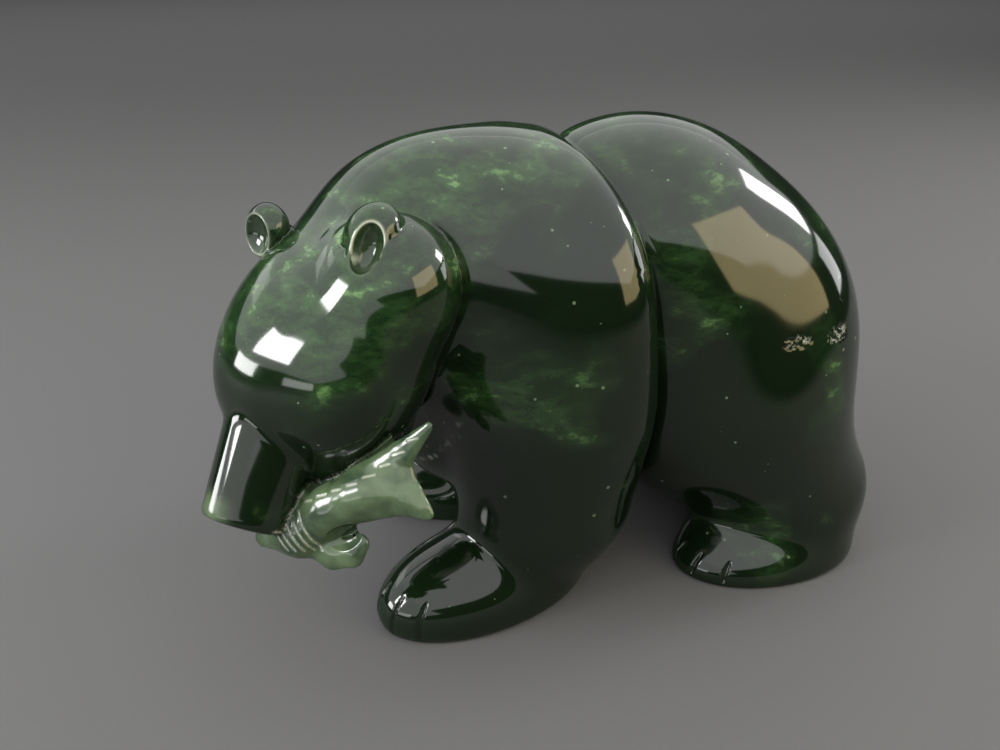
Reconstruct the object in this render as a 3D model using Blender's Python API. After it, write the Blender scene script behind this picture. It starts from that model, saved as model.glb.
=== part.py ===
"""A walking bear with a fish in its mouth, carved from one block of dark green jade.

The head end is at -X, the tail end at +X, the bear's left side at -Y, and the soles stand on z = 0.
Sizes are in millimetres and the finished mesh is scaled to metres.
Each mass of the animal is a rounded primitive. The primitives are fused into one skin, and the skin is
then settled onto the smooth blend of the same masses, the way a carver rounds one form into the next.
"""

import math

import bmesh
import bpy
import numpy as np
from mathutils import Matrix

MM = 0.001

# Overall
NODE = "bear_with_fish"
FOOTPRINT_MIDDLE = (10.84, -4.98)  # middle of the carving in plan, taken as the part origin
SKIN_CELL = 1.1  # size of the squares the fused skin is made of
TRIANGLES = 9400  # faces of the finished solid
SOLE_CUT_TOLERANCE = 0.01
BALL_DIVISIONS = 4
LIMB_BALLS = 7  # balls that rough out one limb
BARREL_ROUGH = (0.92, 0.92, 0.96)  # share of a barrel's size that its rough ball fills
TAPERED_ROUGH = (0.92, 0.80, 0.96)
SETTLE_STEP = 1.5  # furthest a point of the skin moves in one round
SETTLE_LEAST_SLOPE = 0.04
SETTLE_FIRST_ROUNDS = 6
SETTLE_LAST_ROUNDS = 3
SLOPE_STEP = 0.02
EVEN_ROUNDS = 4
EVEN_SHARE = 0.35
JADE_COLOUR = (0.02, 0.05, 0.03, 1.0)
JADE_ROUGHNESS = 0.08
JADE_IOR = 1.61

# Shoulders and withers
SHOULDER_MIDDLE = (5.6, 0.0, 58.8)
SHOULDER_HALF = (21.6, 37.0, 41.7)
SHOULDER_PLAN_POWER = 4.5
SHOULDER_SIDE_POWER = 2.3
SHOULDER_TAPER = 0.4  # how much the shoulders narrow towards the neck
SHOULDER_TAPER_AT = -8.0
SHOULDER_TAPER_LENGTH = 14.0
WITHERS_MIDDLE = (-11.0, -1.0, 71.0)
WITHERS_HALF = (31.2, 24.5, 31.0)
NECK_BACK = (-20.0, 2.0, 74.0)
NECK_FRONT = (-36.0, -10.0, 68.0)
NECK_BACK_RADIUS = 22.0
NECK_FRONT_RADIUS = 18.0
CHEST_MIDDLE = (-13.0, 0.0, 42.0)
CHEST_HALF = (14.0, 18.0, 20.0)

# Rump and loin
RUMP_MIDDLE = (50.8, 0.0, 49.1)
RUMP_HALF = (32.7, 34.0, 39.9)
RUMP_PLAN_POWER = 2.6
RUMP_SIDE_POWER = 2.1
LOIN_MIDDLE = (30.4, 0.0, 76.7)
LOIN_HALF = (30.3, 26.6, 26.4)

# Legs and feet, given for the bear's left side and mirrored for its right
LEG_SIDE = 17.0  # from the middle plane to the legs
FRONT_LEG_X = 6.2
FRONT_LEG_TOP = 44.6
FRONT_LEG_FOOT = 22.6
FRONT_LEG_RADIUS = 19.0
FRONT_STEP = 3.0  # how far the right front leg stands behind the left one
FRONT_PAW_MIDDLE = (-9.7, 20.9, 3.4)
FRONT_PAW_HALF = (25.7, 14.6, 13.1)
FRONT_PAW_TURN = 14.8  # degrees the paws point outwards
HIND_LEG_TOP_X = 53.0
HIND_LEG_TOP = 38.5
HIND_LEG_TOP_RADIUS = 19.3
HIND_LEG_FOOT_X = 70.2
HIND_LEG_FOOT = 15.1
HIND_LEG_FOOT_RADIUS = 18.1
HIND_PAW_MIDDLE = (60.7, 23.6, 0.8)
HIND_PAW_HALF = (23.2, 14.4, 10.8)
HIND_PAW_TURN = 2.0

# Head, in its own frame: u runs forward along the muzzle, v to the bear's left, w up off the forehead
HEAD_MIDDLE = (-42.0, -15.0, 72.0)
HEAD_YAW = 45.0  # degrees the head is turned to the bear's left
HEAD_PITCH = 55.0  # degrees the muzzle is bowed down
DOME_MIDDLE = (9.8, -1.8, -3.7)
DOME_HALF = (19.4, 16.2, 16.1)
CHEEK_MIDDLE = (6.6, 10.5, -2.9)
CHEEK_HALF = (19.8, 15.8, 15.5)
FAR_CHEEK_MIDDLE = (4.5, -2.1, -9.1)
FAR_CHEEK_HALF = (19.5, 14.2, 14.4)
JAW_MIDDLE = (16.0, 7.0, -12.0)
JAW_HALF = (19.0, 13.0, 14.0)
RUFF_MIDDLE = (-8.0, 16.0, 0.0)
RUFF_HALF = (14.0, 13.5, 13.0)
MUZZLE_BACK = 5.0  # how far inside the skull the muzzle starts
MUZZLE_ROOT = 20.0
MUZZLE_TIP = 43.0
MUZZLE_ROOT_HALF = 9.7
MUZZLE_TIP_HALF = 8.3
MUZZLE_DEPTH_SHARE = 0.88  # its depth as a share of its width
MUZZLE_ROLL = 37.0  # degrees its top is rolled to the bear's left
MUZZLE_POWER = 2.2  # how square the muzzle is across
MUZZLE_TIP_ROUNDING = 2.2
MUZZLE_BACK_ROUNDING = 1.2

# Ears, in the head's frame: each is a disc with a cup cut in it
NEAR_EAR_MIDDLE = (-13.2, 16.2, 9.5)
NEAR_EAR_FACING = (0.30, 0.40, 0.85)
NEAR_EAR_HALF = (7.6, 6.1, 5.8)
NEAR_EAR_SINK = 2.0
NEAR_CUP_HALF = (4.9, 2.9, 3.6)
NEAR_CUP_LIFT = 4.2
FAR_EAR_MIDDLE = (-12.3, -13.6, 4.5)
FAR_EAR_FACING = (0.45, -0.15, 0.88)
FAR_EAR_HALF = (5.8, 5.0, 4.2)
FAR_EAR_SINK = 1.2
FAR_CUP_HALF = (4.4, 3.9, 3.0)
FAR_CUP_LIFT = 3.0

# Fish, in its own frame: a along the body to the tail, b towards the back fin, c through its thickness
FISH_NOSE = (-57.0, -29.3, 31.6)
FISH_ALONG = (0.786, -0.382, 0.487)
FISH_THROUGH = (-0.578, -0.735, 0.355)
FISH_BODY = (((1.5, -0.8), 2.2), ((9.5, -2.2), 4.8), ((18.0, -0.4), 4.7), ((27.0, 0.3), 4.2))
FISH_BODY_FLATNESS = 1.1
FISH_TAIL_UPPER = (((26.0, 1.5), 3.8), ((36.0, 4.2), 2.6), ((43.4, 7.1), 0.9))
FISH_TAIL_LOWER = (((26.0, -1.0), 3.9), ((34.0, -3.2), 3.5), ((37.0, -7.6), 1.1))
FISH_TAIL_MIDDLE = (((29.0, 0.0), 4.0), ((34.6, 0.6), 2.7))
FISH_TAIL_FLATNESS = 1.9
FISH_RIDGE = (((24.0, 0.3), 3.0), ((32.0, -1.8), 2.0), ((36.4, -6.2), 1.0))  # along the lower lobe
FISH_RIDGE_FLATNESS = 0.8
FISH_FIN = (((11.5, -5.0), 3.0), ((14.6, -8.4), 3.0), ((18.6, -9.6), 2.6), ((21.2, -8.4), 1.9))
FISH_FIN_FLATNESS = 1.9
FISH_HOLLOW_MIDDLE = (19.6, -6.4, 2.4)  # the dish carved in the fin's outer face
FISH_HOLLOW_HALF = (4.2, 2.5, 2.6)
FISH_SWELL = 0.45  # how much fatter than the fish its rough balls are

# Blends: the radius over which one mass runs into the next
BLEND_WITHERS = 16.0
BLEND_LOIN = 25.0
BLEND_LEG = 18.0
BLEND_PAW = 12.0
BLEND_NECK = 10.0
BLEND_CHEST = 8.0
BLEND_DOME = 12.0
BLEND_JAW = 6.0
BLEND_RUFF = 10.0
BLEND_HEAD_TOP = 10.0
BLEND_HEAD_NEAR = 2.0
BLEND_MUZZLE = 2.0
BLEND_EAR = 3.0
BLEND_CUP = 1.2
BLEND_FISH_CHAIN = 1.0
BLEND_FISH_TRUNK = 3.0
BLEND_FISH_TAIL = 4.0
BLEND_FISH_FIN = 2.0
BLEND_FISH = 1.2

# The arch carved through under the belly
ARCH_MIDDLE = (27.0, 15.0, 0.0)
ARCH_HALF = (12.0, 36.0, 22.0)
ARCH_ROUNDING = 4.0

# Carved creases where two masses meet
WAIST_CREASE_DEPTH = 1.4
WAIST_CREASE_WIDTH = 2.6
WAIST_CREASE_BLEND = 2.4
CHEEK_CREASE_DEPTH = 1.2
CHEEK_CREASE_WIDTH = 2.2
CHEEK_CREASE_FROM = 4.0  # the crease fades in between these two places across the head
CHEEK_CREASE_TO = 15.0


def unit(vector):
    """The vector at length one."""
    vector = np.asarray(vector, float)
    return vector / np.linalg.norm(vector)


def head_axes():
    """Columns are the head's u, v and w axes."""
    yaw = math.radians(HEAD_YAW)
    pitch = math.radians(HEAD_PITCH)
    forward = np.array([
        -math.cos(yaw) * math.cos(pitch),
        -math.sin(yaw) * math.cos(pitch),
        -math.sin(pitch),
    ])
    left = np.array([math.sin(yaw), -math.cos(yaw), 0.0])
    return np.stack([forward, left, np.cross(forward, left)], 1)


def fish_axes():
    """Columns are the fish's a, b and c axes."""
    along = unit(FISH_ALONG)
    back = unit(np.cross(FISH_THROUGH, along))
    return np.stack([along, back, np.cross(along, back)], 1)


def ear_axes(facing):
    """Columns are an ear's length, width and facing axes, in the head's frame."""
    facing = unit(facing)
    length = np.array([1.0, 0.0, 0.0])
    length = unit(length - length.dot(facing) * facing)
    return np.stack([length, np.cross(facing, length), facing], 1)


def upright_turn(degrees):
    """Axes turned about +Z."""
    angle = math.radians(degrees)
    return np.array([
        [math.cos(angle), -math.sin(angle), 0.0],
        [math.sin(angle), math.cos(angle), 0.0],
        [0.0, 0.0, 1.0],
    ])


HEAD_AXES = head_axes()
FISH_AXES = fish_axes()


def fuse(first, second, radius):
    """Distance to two masses run together over a radius."""
    overlap = np.maximum(radius - np.abs(first - second), 0.0) / radius
    return np.minimum(first, second) - overlap ** 3 * radius / 6.0


def keep_common(first, second, radius):
    """Distance to what two masses share, with its edge rounded over a radius."""
    return -fuse(-first, -second, radius)


def crease(first, second, depth, width):
    """How far the skin is carved in along the line where two masses meet."""
    return depth * np.exp(-((first - second) / width) ** 2)


def ramp(start, end, value):
    """Zero before start, one after end, smooth between."""
    share = np.clip((value - start) / (end - start), 0.0, 1.0)
    return share * share * (3.0 - 2.0 * share)


class Ellipsoid:
    """A rounded mass with three half lengths along its own axes."""

    def __init__(self, middle, half, axes=None, origin=(0.0, 0.0, 0.0), frame=None):
        frame = np.eye(3) if frame is None else frame
        axes = np.eye(3) if axes is None else axes
        self.middle = np.asarray(origin, float) + frame @ np.asarray(middle, float)
        self.half = np.asarray(half, float)
        self.axes = frame @ axes

    def distance(self, points):
        local = (points - self.middle) @ self.axes
        near = np.linalg.norm(local / self.half, axis=1) + 1e-9
        slope = np.linalg.norm(local / self.half ** 2, axis=1) + 1e-9
        return near * (near - 1.0) / slope

    def rough(self, mesh):
        place = Matrix.Identity(4)
        for row in range(3):
            for column in range(3):
                place[row][column] = self.axes[row][column] * self.half[column]
            place[row][3] = self.middle[row]
        bmesh.ops.create_icosphere(mesh, subdivisions=BALL_DIVISIONS, radius=1.0, matrix=place)


class Barrel:
    """A mass squarer than an ellipsoid, with one power across its plan and one up its side."""

    def __init__(self, middle, half, plan_power, side_power, taper=0.0):
        self.middle = np.asarray(middle, float)
        self.half = np.asarray(half, float)
        self.plan = plan_power
        self.side = side_power
        self.taper = taper

    def distance(self, points):
        local = np.abs(points - self.middle)
        if self.taper:
            lean = np.tanh((points[:, 0] - SHOULDER_TAPER_AT) / SHOULDER_TAPER_LENGTH)
            local[:, 1] *= 1.0 + self.taper * 0.5 * (1.0 - lean)
        share = local / self.half + 1e-6
        flat = (share[:, 0] ** self.plan + share[:, 1] ** self.plan) ** (1.0 / self.plan)
        near = (flat ** self.side + share[:, 2] ** self.side) ** (1.0 / self.side)
        across = near ** (1.0 - self.side) * flat ** (self.side - self.plan)
        slope_x = across * share[:, 0] ** (self.plan - 1.0) / self.half[0]
        slope_y = across * share[:, 1] ** (self.plan - 1.0) / self.half[1]
        slope_z = (share[:, 2] / near) ** (self.side - 1.0) / self.half[2]
        return (near - 1.0) / np.sqrt(slope_x ** 2 + slope_y ** 2 + slope_z ** 2)

    def rough(self, mesh):
        inner = self.half * (TAPERED_ROUGH if self.taper else BARREL_ROUGH)
        Ellipsoid(self.middle, inner).rough(mesh)


class Limb:
    """A cone with a ball at each end, or a flattened one lying in the fish."""

    def __init__(
        self, start, end, start_radius, end_radius, flatness=1.0, axes=None, origin=None, swell=0.0
    ):
        self.swell = swell
        self.start = np.asarray(start, float)
        self.end = np.asarray(end, float)
        self.radii = (start_radius, end_radius)
        self.flatness = flatness
        self.axes = np.eye(3) if axes is None else axes
        self.origin = np.zeros(3) if origin is None else np.asarray(origin, float)

    def distance(self, points):
        local = (points - self.origin) @ self.axes
        local[:, 2] *= self.flatness
        span = self.end - self.start
        length = np.linalg.norm(span)
        along = (local - self.start) @ (span / length)
        off = np.linalg.norm(local - self.start - np.outer(along, span / length), axis=1)
        sine = (self.radii[0] - self.radii[1]) / length
        cosine = math.sqrt(1.0 - sine * sine)
        share = np.clip((along - off * sine / cosine) / length, 0.0, 1.0)
        gap = local - self.start - np.outer(share, span)
        radius = self.radii[0] + (self.radii[1] - self.radii[0]) * share
        return np.linalg.norm(gap, axis=1) - radius

    def rough(self, mesh):
        for share in np.linspace(0.0, 1.0, LIMB_BALLS):
            middle = self.start + (self.end - self.start) * share
            radius = self.radii[0] + (self.radii[1] - self.radii[0]) * share
            wide = radius + self.swell
            half = (wide, wide, radius / self.flatness + self.swell)
            Ellipsoid(middle, half, None, self.origin, self.axes).rough(mesh)


class Muzzle:
    """The boxy snout, narrowing to a flat end."""

    def __init__(self):
        self.axes = HEAD_AXES @ np.array(Matrix.Rotation(-math.radians(MUZZLE_ROLL), 3, "X"))

    def distance(self, points):
        local = (points - HEAD_MIDDLE) @ self.axes
        local[:, 2] /= MUZZLE_DEPTH_SHARE
        share = np.clip((local[:, 0] - MUZZLE_ROOT) / (MUZZLE_TIP - MUZZLE_ROOT), 0.0, 1.0)
        half = MUZZLE_ROOT_HALF + (MUZZLE_TIP_HALF - MUZZLE_ROOT_HALF) * share
        across = np.abs(local[:, 1:]) ** MUZZLE_POWER
        side = (across.sum(axis=1) + 1e-9) ** (1.0 / MUZZLE_POWER) - half
        shape = keep_common(side, local[:, 0] - MUZZLE_TIP, MUZZLE_TIP_ROUNDING)
        return keep_common(shape, MUZZLE_BACK - local[:, 0], MUZZLE_BACK_ROUNDING)

    def rough(self, mesh):
        middle = np.array(((MUZZLE_BACK + MUZZLE_TIP) / 2.0, 0.0, 0.0))
        deep = MUZZLE_TIP_HALF * MUZZLE_DEPTH_SHARE
        half = ((MUZZLE_TIP - MUZZLE_BACK) / 2.0, MUZZLE_TIP_HALF, deep)
        centre = HEAD_MIDDLE + self.axes @ middle
        place = Matrix.Identity(4)
        for row in range(3):
            for column in range(3):
                place[row][column] = self.axes[row][column] * half[column] * 2.0
            place[row][3] = centre[row]
        bmesh.ops.create_cube(mesh, size=1.0, matrix=place)


class Leg:
    """One leg: a tapering post and a paw run together."""

    def __init__(self, post, paw):
        self.post = post
        self.paw = paw

    def distance(self, points):
        return fuse(self.post.distance(points), self.paw.distance(points), BLEND_PAW)

    def rough(self, mesh):
        self.post.rough(mesh)
        self.paw.rough(mesh)


def front_leg(side):
    """A front leg; side is -1 for the bear's left and 1 for its right."""
    step = FRONT_STEP if side > 0 else 0.0
    x = FRONT_LEG_X + step
    post = Limb(
        (x, side * LEG_SIDE, FRONT_LEG_TOP),
        (x, side * LEG_SIDE, FRONT_LEG_FOOT),
        FRONT_LEG_RADIUS,
        FRONT_LEG_RADIUS,
    )
    middle = (FRONT_PAW_MIDDLE[0] + step, side * FRONT_PAW_MIDDLE[1], FRONT_PAW_MIDDLE[2])
    return Leg(post, Ellipsoid(middle, FRONT_PAW_HALF, upright_turn(-side * FRONT_PAW_TURN)))


def hind_leg(side):
    """A hind leg; side is -1 for the bear's left and 1 for its right."""
    post = Limb(
        (HIND_LEG_TOP_X, side * LEG_SIDE, HIND_LEG_TOP),
        (HIND_LEG_FOOT_X, side * LEG_SIDE, HIND_LEG_FOOT),
        HIND_LEG_TOP_RADIUS,
        HIND_LEG_FOOT_RADIUS,
    )
    middle = (HIND_PAW_MIDDLE[0], side * HIND_PAW_MIDDLE[1], HIND_PAW_MIDDLE[2])
    return Leg(post, Ellipsoid(middle, HIND_PAW_HALF, upright_turn(-side * HIND_PAW_TURN)))


def head_mass(middle, half):
    """An ellipsoid given in the head's frame."""
    return Ellipsoid(middle, half, None, HEAD_MIDDLE, HEAD_AXES)


def ear_mass(middle, facing, lift, half):
    """An ellipsoid lying in an ear, lifted along the way the ear faces."""
    axes = ear_axes(facing)
    return Ellipsoid(np.asarray(middle) + axes[:, 2] * lift, half, axes, HEAD_MIDDLE, HEAD_AXES)


def fish_chain(stations, flatness):
    """The limbs that join one place along the fish to the next."""
    limbs = []
    for (start, start_radius), (end, end_radius) in zip(stations, stations[1:]):
        limbs.append(
            Limb(
                (*start, 0.0),
                (*end, 0.0),
                start_radius,
                end_radius,
                flatness,
                FISH_AXES,
                FISH_NOSE,
                FISH_SWELL,
            )
        )
    return limbs


def chain_distance(limbs, points, blend):
    """Distance to a row of limbs run together."""
    result = limbs[0].distance(points)
    for limb in limbs[1:]:
        result = fuse(result, limb.distance(points), blend)
    return result


SHOULDER = Barrel(
    SHOULDER_MIDDLE, SHOULDER_HALF, SHOULDER_PLAN_POWER, SHOULDER_SIDE_POWER, SHOULDER_TAPER
)
WITHERS = Ellipsoid(WITHERS_MIDDLE, WITHERS_HALF)
NECK = Limb(NECK_BACK, NECK_FRONT, NECK_BACK_RADIUS, NECK_FRONT_RADIUS)
CHEST = Ellipsoid(CHEST_MIDDLE, CHEST_HALF)
RUMP = Barrel(RUMP_MIDDLE, RUMP_HALF, RUMP_PLAN_POWER, RUMP_SIDE_POWER)
LOIN = Ellipsoid(LOIN_MIDDLE, LOIN_HALF)
FRONT_LEGS = [front_leg(side) for side in (-1, 1)]
HIND_LEGS = [hind_leg(side) for side in (-1, 1)]
DOME = head_mass(DOME_MIDDLE, DOME_HALF)
CHEEK = head_mass(CHEEK_MIDDLE, CHEEK_HALF)
FAR_CHEEK = head_mass(FAR_CHEEK_MIDDLE, FAR_CHEEK_HALF)
JAW = head_mass(JAW_MIDDLE, JAW_HALF)
RUFF = head_mass(RUFF_MIDDLE, RUFF_HALF)
MUZZLE = Muzzle()
EARS = [
    ear_mass(NEAR_EAR_MIDDLE, NEAR_EAR_FACING, -NEAR_EAR_SINK, NEAR_EAR_HALF),
    ear_mass(FAR_EAR_MIDDLE, FAR_EAR_FACING, -FAR_EAR_SINK, FAR_EAR_HALF),
]
EAR_CUPS = [
    ear_mass(NEAR_EAR_MIDDLE, NEAR_EAR_FACING, NEAR_CUP_LIFT, NEAR_CUP_HALF),
    ear_mass(FAR_EAR_MIDDLE, FAR_EAR_FACING, FAR_CUP_LIFT, FAR_CUP_HALF),
]
ARCH = Ellipsoid(ARCH_MIDDLE, ARCH_HALF)
FISH_TRUNK = fish_chain(FISH_BODY, FISH_BODY_FLATNESS)
FISH_TAIL = [
    fish_chain(lobe, FISH_TAIL_FLATNESS)
    for lobe in (FISH_TAIL_UPPER, FISH_TAIL_LOWER, FISH_TAIL_MIDDLE)
]
FISH_TAIL.append(fish_chain(FISH_RIDGE, FISH_RIDGE_FLATNESS))
FISH_SIDE_FIN = fish_chain(FISH_FIN, FISH_FIN_FLATNESS)
FISH_HOLLOW = Ellipsoid(FISH_HOLLOW_MIDDLE, FISH_HOLLOW_HALF, None, FISH_NOSE, FISH_AXES)


def fish_distance(points):
    """Distance to the fish: trunk, forked tail and the hollowed side fin below it."""
    tail = chain_distance(FISH_TAIL[0], points, BLEND_FISH_CHAIN)
    for lobe in FISH_TAIL[1:]:
        tail = fuse(tail, chain_distance(lobe, points, BLEND_FISH_CHAIN), BLEND_FISH_FIN)
    fish = fuse(chain_distance(FISH_TRUNK, points, BLEND_FISH_TRUNK), tail, BLEND_FISH_TAIL)
    fin = chain_distance(FISH_SIDE_FIN, points, BLEND_FISH_CHAIN)
    fish = fuse(fish, fin, BLEND_FISH_FIN)
    return keep_common(fish, -FISH_HOLLOW.distance(points), BLEND_FISH)


def head_distance(points):
    """Distance to the skull without its muzzle and ears."""
    skull = fuse(DOME.distance(points), CHEEK.distance(points), BLEND_DOME)
    skull = fuse(skull, FAR_CHEEK.distance(points), BLEND_DOME)
    skull = fuse(skull, JAW.distance(points), BLEND_JAW)
    return fuse(skull, RUFF.distance(points), BLEND_RUFF)


def body_distance(points):
    """Distance to the two halves of the body, with the waist crease and the belly arch carved."""
    front = fuse(SHOULDER.distance(points), WITHERS.distance(points), BLEND_WITHERS)
    back = fuse(RUMP.distance(points), LOIN.distance(points), BLEND_LOIN)
    front = np.minimum(*(fuse(front, leg.distance(points), BLEND_LEG) for leg in FRONT_LEGS))
    back = np.minimum(*(fuse(back, leg.distance(points), BLEND_LEG) for leg in HIND_LEGS))
    front = fuse(front, CHEST.distance(points), BLEND_CHEST)
    front = fuse(front, NECK.distance(points), BLEND_NECK)
    carved = crease(front, back, WAIST_CREASE_DEPTH, WAIST_CREASE_WIDTH)
    body = fuse(front, back, WAIST_CREASE_BLEND) + carved
    return keep_common(body, -ARCH.distance(points), ARCH_ROUNDING)


def skin_distance(points):
    """Distance to the finished skin of the whole carving."""
    body = body_distance(points)
    head = head_distance(points)
    across = ((points - HEAD_MIDDLE) @ HEAD_AXES)[:, 1]
    near = ramp(CHEEK_CREASE_FROM, CHEEK_CREASE_TO, across)
    blend = BLEND_HEAD_TOP + (BLEND_HEAD_NEAR - BLEND_HEAD_TOP) * near
    carved = crease(body, head, CHEEK_CREASE_DEPTH, CHEEK_CREASE_WIDTH) * near
    skin = fuse(body, head, blend) + carved
    skin = fuse(skin, MUZZLE.distance(points), BLEND_MUZZLE)
    for ear, cup in zip(EARS, EAR_CUPS):
        skin = fuse(skin, ear.distance(points), BLEND_EAR)
        skin = keep_common(skin, -cup.distance(points), BLEND_CUP)
    return fuse(skin, fish_distance(points), BLEND_FISH)


def skin_slope(points):
    """The way out of the skin at each point, by finite steps."""
    slope = np.empty_like(points)
    for axis in range(3):
        ahead = points.copy()
        behind = points.copy()
        ahead[:, axis] += SLOPE_STEP
        behind[:, axis] -= SLOPE_STEP
        slope[:, axis] = (skin_distance(ahead) - skin_distance(behind)) / (2.0 * SLOPE_STEP)
    return slope


def settle(points, rounds):
    """Points moved straight onto the skin."""
    for _ in range(rounds):
        distance = skin_distance(points)
        slope = skin_slope(points)
        steepness = np.maximum((slope ** 2).sum(axis=1), SETTLE_LEAST_SLOPE)
        move = np.clip(distance / steepness, -SETTLE_STEP, SETTLE_STEP)
        points = points - slope * move[:, None]
    return points


def rough_masses():
    """Every mass of the animal as a primitive, all in one mesh."""
    mesh = bmesh.new()
    masses = [SHOULDER, WITHERS, NECK, CHEST, RUMP, LOIN, *FRONT_LEGS, *HIND_LEGS]
    masses += [DOME, CHEEK, FAR_CHEEK, JAW, RUFF, MUZZLE, *EARS, *FISH_TRUNK, *FISH_SIDE_FIN]
    for lobe in FISH_TAIL:
        masses += lobe
    for mass in masses:
        mass.rough(mesh)
    return mesh


def apply_modifier(body, kind, **settings):
    """Adds one modifier to the object and makes it real."""
    modifier = body.modifiers.new(kind.title(), kind)
    for name, value in settings.items():
        setattr(modifier, name, value)
    graph = bpy.context.evaluated_depsgraph_get()
    finished = bpy.data.meshes.new_from_object(body.evaluated_get(graph))
    body.modifiers.clear()
    old = body.data
    body.data = finished
    bpy.data.meshes.remove(old)


def vertex_places(mesh):
    """The mesh's vertices as an array."""
    places = np.empty(len(mesh.vertices) * 3)
    mesh.vertices.foreach_get("co", places)
    return places.reshape(-1, 3)


def even_out(points, edges, share):
    """Points drawn towards the middle of their neighbours."""
    total = np.zeros_like(points)
    count = np.bincount(edges.ravel(), minlength=len(points))
    for axis in range(3):
        total[:, axis] = np.bincount(
            edges.ravel(), weights=points[edges[:, ::-1].ravel(), axis], minlength=len(points)
        )
    return points + (total / np.maximum(count, 1)[:, None] - points) * share


def settle_mesh(mesh):
    """Lays the fused skin onto the smooth blend, keeping its squares even."""
    edges = np.empty(len(mesh.edges) * 2, int)
    mesh.edges.foreach_get("vertices", edges)
    edges = edges.reshape(-1, 2)
    points = settle(vertex_places(mesh), SETTLE_FIRST_ROUNDS)
    for _ in range(EVEN_ROUNDS):
        points = settle(even_out(points, edges, EVEN_SHARE), 1)
    points = settle(points, SETTLE_LAST_ROUNDS)
    mesh.vertices.foreach_set("co", points.ravel())
    mesh.update()


def cut_soles(body):
    """Cuts the feet flat where they stand and closes each sole."""
    mesh = bmesh.new()
    mesh.from_mesh(body.data)
    everything = mesh.verts[:] + mesh.edges[:] + mesh.faces[:]
    cut = bmesh.ops.bisect_plane(
        mesh,
        geom=everything,
        dist=SOLE_CUT_TOLERANCE,
        plane_co=(0.0, 0.0, 0.0),
        plane_no=(0.0, 0.0, -1.0),
        clear_outer=True,
    )
    rim = [item for item in cut["geom_cut"] if isinstance(item, bmesh.types.BMEdge)]
    bmesh.ops.holes_fill(mesh, edges=rim, sides=0)
    bmesh.ops.dissolve_degenerate(mesh, dist=SOLE_CUT_TOLERANCE, edges=mesh.edges[:])
    bmesh.ops.triangulate(mesh, faces=mesh.faces[:])
    bmesh.ops.recalc_face_normals(mesh, faces=mesh.faces[:])
    mesh.to_mesh(body.data)
    mesh.free()


def to_part_frame(body):
    """Moves the origin under the middle of the carving and turns millimetres into metres."""
    place = Matrix.Translation((-FOOTPRINT_MIDDLE[0], -FOOTPRINT_MIDDLE[1], 0.0))
    body.data.transform(Matrix.Scale(MM, 4) @ place)
    body.data.update()


def jade():
    """Polished dark green nephrite."""
    material = bpy.data.materials.new("polished_dark_green_jade")
    material.use_nodes = True
    shader = material.node_tree.nodes["Principled BSDF"]
    shader.inputs["Base Color"].default_value = JADE_COLOUR
    shader.inputs["Roughness"].default_value = JADE_ROUGHNESS
    shader.inputs["IOR"].default_value = JADE_IOR
    return material


def build():
    """Carves the bear."""
    for item in list(bpy.data.objects):
        bpy.data.objects.remove(item, do_unlink=True)
    mesh = rough_masses()
    data = bpy.data.meshes.new(NODE)
    mesh.to_mesh(data)
    mesh.free()
    body = bpy.data.objects.new(NODE, data)
    bpy.context.scene.collection.objects.link(body)
    apply_modifier(body, "REMESH", mode="VOXEL", voxel_size=SKIN_CELL, adaptivity=0.0)
    settle_mesh(body.data)
    quads = len(body.data.polygons)
    apply_modifier(body, "DECIMATE", decimate_type="COLLAPSE", ratio=TRIANGLES / (quads * 2.0))
    cut_soles(body)
    to_part_frame(body)
    body.data.name = NODE
    body.data.materials.clear()
    body.data.materials.append(jade())


build()
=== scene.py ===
"""A walking bear with a fish in its mouth, carved from one block of polished dark green nephrite.

The head end is at -X, the tail end at +X, the bear's left side at -Y and the soles stand on z = 0.
Sizes are in millimetres in the carving block, and the finished mesh is brought to metres in the part's frame.
Each mass is a primitive. They are fused into one skin, which is settled onto the smooth blend of the same
masses, made finer where the carver worked finer, and cut with the fish's gills and scales and the toes.
"""

from __future__ import annotations

import logging
import math
from collections.abc import Callable, Sequence
from dataclasses import dataclass, field, replace
from enum import Enum

import bpy
import numpy as np
from bpy.types import ID, Material, Mesh, Node, NodeOutputs, NodeSocket, Object, bpy_prop_collection
from mathutils import Color, Euler, Matrix, Vector, noise


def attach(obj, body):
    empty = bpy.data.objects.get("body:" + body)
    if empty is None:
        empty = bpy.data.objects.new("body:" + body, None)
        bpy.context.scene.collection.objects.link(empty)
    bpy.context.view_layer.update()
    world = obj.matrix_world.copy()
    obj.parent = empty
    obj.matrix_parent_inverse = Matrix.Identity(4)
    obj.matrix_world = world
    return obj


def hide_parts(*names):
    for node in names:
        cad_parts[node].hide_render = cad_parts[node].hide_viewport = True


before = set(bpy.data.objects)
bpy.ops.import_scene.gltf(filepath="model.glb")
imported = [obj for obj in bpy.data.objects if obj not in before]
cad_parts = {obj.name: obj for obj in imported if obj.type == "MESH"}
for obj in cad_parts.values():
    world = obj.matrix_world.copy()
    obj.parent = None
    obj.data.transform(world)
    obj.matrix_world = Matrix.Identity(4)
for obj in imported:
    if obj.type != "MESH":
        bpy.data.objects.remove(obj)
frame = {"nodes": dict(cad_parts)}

log = logging.getLogger("bear")

Points = np.ndarray
Formula = Callable[[Points], Points]
Place = tuple[float, float, float]
Flat = tuple[float, float]
Span = tuple[float, float]

MM = 0.001
PART_NODE = "bear_with_fish"
ROOT_BODY = "root"
BLOCK_MIDDLE = (10.84, -4.98)  # middle of the carving's plan in the block, which is the part's origin
FAR_AWAY = 30.0
TINY = 1e-9  # keeps a division clear of nought
LEAST_SHARE = 1e-6  # keeps a power clear of nought


class Side(Enum):
    """A side of the bear, with its sign along Y in the block."""

    LEFT = -1
    RIGHT = 1


# ---- shapes as formulas


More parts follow.
